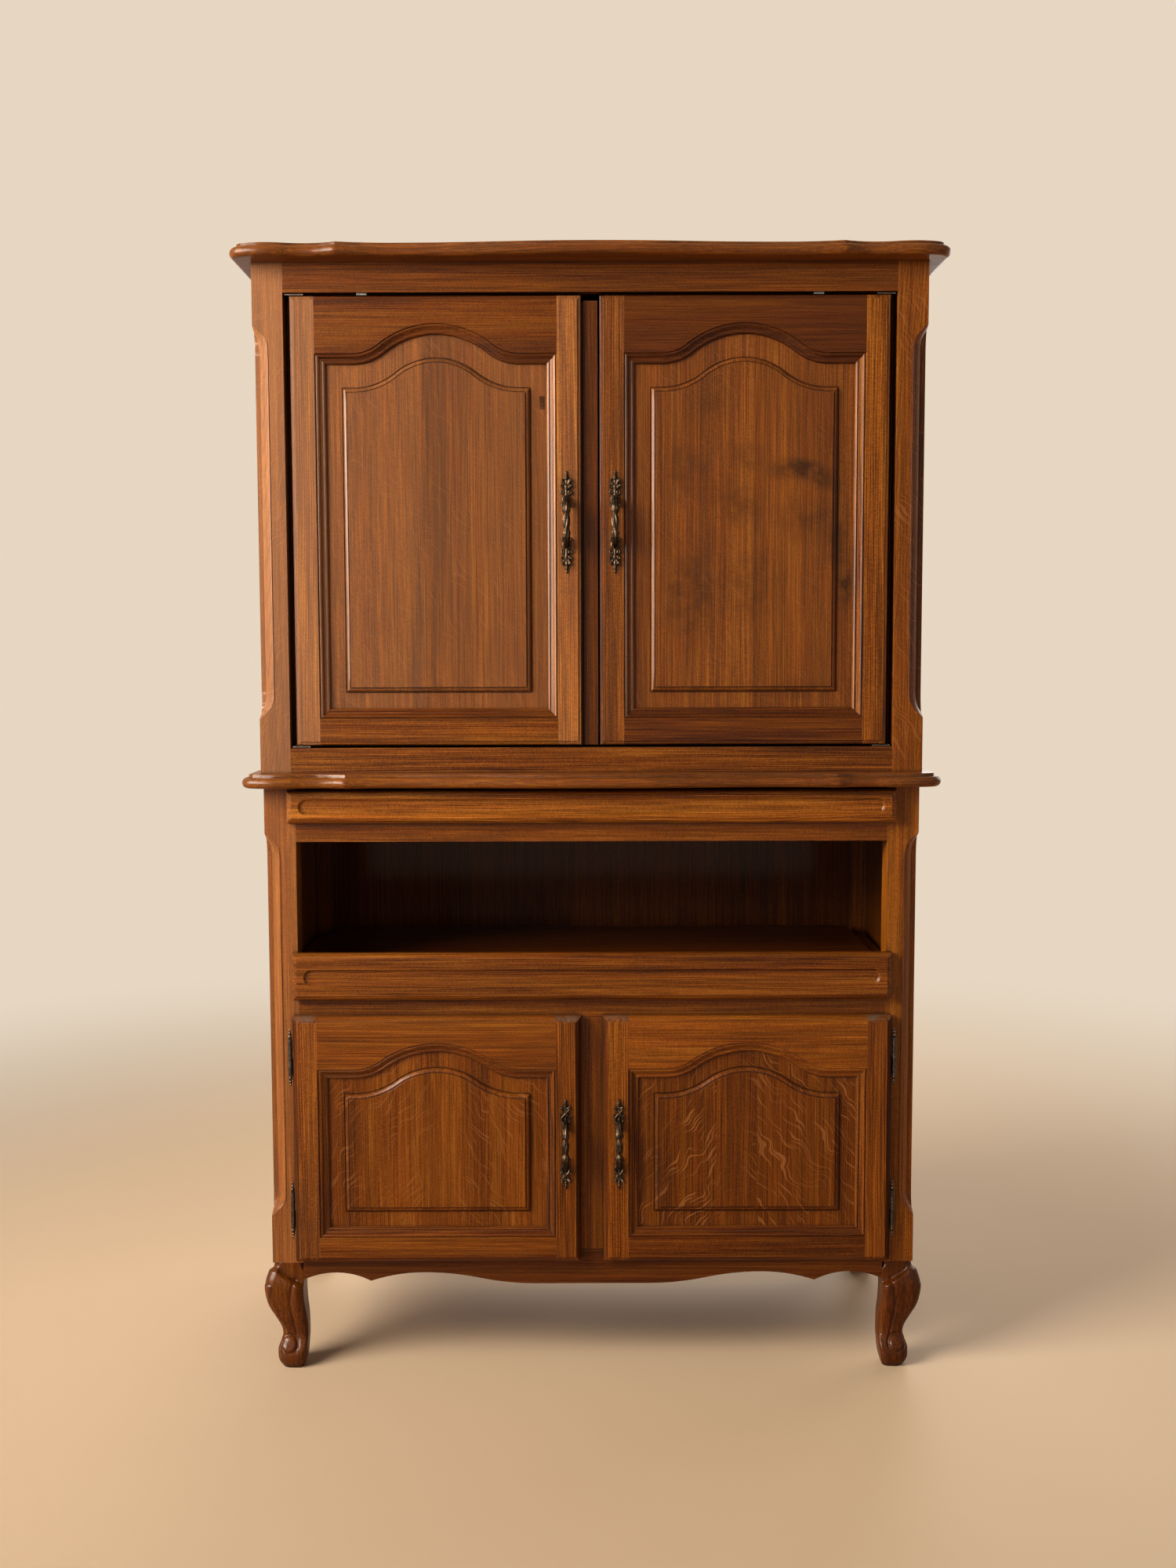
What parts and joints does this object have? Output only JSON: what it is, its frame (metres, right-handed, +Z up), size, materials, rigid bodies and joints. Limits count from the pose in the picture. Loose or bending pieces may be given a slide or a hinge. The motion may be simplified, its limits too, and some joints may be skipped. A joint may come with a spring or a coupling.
{
  "type": "tv cabinet",
  "caption": "Tall oak cabinet in two bodies: pocket doors over a drawer, open niche with sliding tray, and a cupboard with arched panel doors on cabriole legs.",
  "frame": {"origin": "on the floor, under the middle of the whole cabinet", "axes": "+Z up, front towards -Y, +X to the right seen from the front"},
  "size_m": [1.138, 0.512, 1.833],
  "materials": {
    "oak": "stained oak, satin lacquer",
    "oak_panel": "stained oak panel, satin lacquer",
    "inner_oak": "thinly stained oak",
    "back_board": "stained plywood",
    "antique_brass": "aged cast brass",
    "hinge_iron": "browned iron",
    "gear_steel": "zinc-plated steel"
  },
  "bodies": {
    "cabinet": {"cornice_board": "oak", "upper_front_posts": "oak", "upper_rear_posts": "oak", "frieze_rail": "oak", "upper_bottom_rail": "oak", "upper_side_rails": "oak", "upper_side_panels": "oak", "upper_back_panel": "back_board", "tv_deck": "inner_oak", "pocket_slide_rails": "gear_steel", "upper_door_catches": "gear_steel", "waist_board": "oak", "lower_front_posts": "oak", "lower_rear_posts": "oak", "front_legs": "oak", "drawer_rail": "oak", "door_rail": "oak", "centre_stile": "oak", "apron": "oak", "lower_side_rails": "oak", "lower_side_panels": "oak", "lower_back_panel": "back_board", "dust_boards": "back_board", "cupboard_floor": "inner_oak", "drawer_runners": "inner_oak", "door_hinge_pintles": "hinge_iron"},
    "drawer": {"drawer_front": "oak", "drawer_walls": "inner_oak", "drawer_bottom": "back_board"},
    "tray": {"tray_front": "oak", "tray_board": "inner_oak"},
    "carrier_left": {"carrier_batten_left": "oak", "carrier_fittings_left": "gear_steel"},
    "upper_door_left": {"upper_door_stiles_left": "oak", "upper_door_top_rail_left": "oak", "upper_door_bottom_rail_left": "oak", "upper_door_panel_left": "oak_panel", "upper_door_pull_left": "antique_brass", "astragal": "oak"},
    "lower_door_left": {"lower_door_stiles_left": "oak", "lower_door_top_rail_left": "oak", "lower_door_bottom_rail_left": "oak", "lower_door_panel_left": "oak_panel", "lower_door_pull_left": "antique_brass", "door_hinge_knuckles_left": "hinge_iron"},
    "carrier_right": {"carrier_batten_right": "oak", "carrier_fittings_right": "gear_steel"},
    "upper_door_right": {"upper_door_stiles_right": "oak", "upper_door_top_rail_right": "oak", "upper_door_bottom_rail_right": "oak", "upper_door_panel_right": "oak_panel", "upper_door_pull_right": "antique_brass"},
    "lower_door_right": {"lower_door_stiles_right": "oak", "lower_door_top_rail_right": "oak", "lower_door_bottom_rail_right": "oak", "lower_door_panel_right": "oak_panel", "lower_door_pull_right": "antique_brass", "door_hinge_knuckles_right": "hinge_iron"}
  },
  "joints": [
    {"name": "pocket_slide_left", "type": "slide", "parent": "cabinet", "child": "carrier_left", "axis": [0, 1, 0], "range_m": [0, 0.385]},
    {"name": "pocket_door_left", "type": "hinge", "parent": "carrier_left", "child": "upper_door_left", "pos_m": [-0.469, -0.188, 1.4005], "axis": [0, 0, -1], "range_deg": [0, 90]},
    {"name": "cupboard_door_left", "type": "hinge", "parent": "cabinet", "child": "lower_door_left", "pos_m": [-0.4976, -0.21, 0.3895], "axis": [0, 0, -1], "range_deg": [0, 170]},
    {"name": "pocket_slide_right", "type": "slide", "parent": "cabinet", "child": "carrier_right", "axis": [0, 1, 0], "range_m": [0, 0.385]},
    {"name": "pocket_door_right", "type": "hinge", "parent": "carrier_right", "child": "upper_door_right", "pos_m": [0.469, -0.188, 1.4005], "axis": [0, 0, 1], "range_deg": [0, 90]},
    {"name": "cupboard_door_right", "type": "hinge", "parent": "cabinet", "child": "lower_door_right", "pos_m": [0.4976, -0.21, 0.3895], "axis": [0, 0, 1], "range_deg": [0, 170]},
    {"name": "drawer_slide", "type": "slide", "parent": "cabinet", "child": "drawer", "axis": [0, -1, 0], "range_m": [0, 0.33]},
    {"name": "tray_slide", "type": "slide", "parent": "cabinet", "child": "tray", "axis": [0, -1, 0], "range_m": [0, 0.3]}
  ]
}
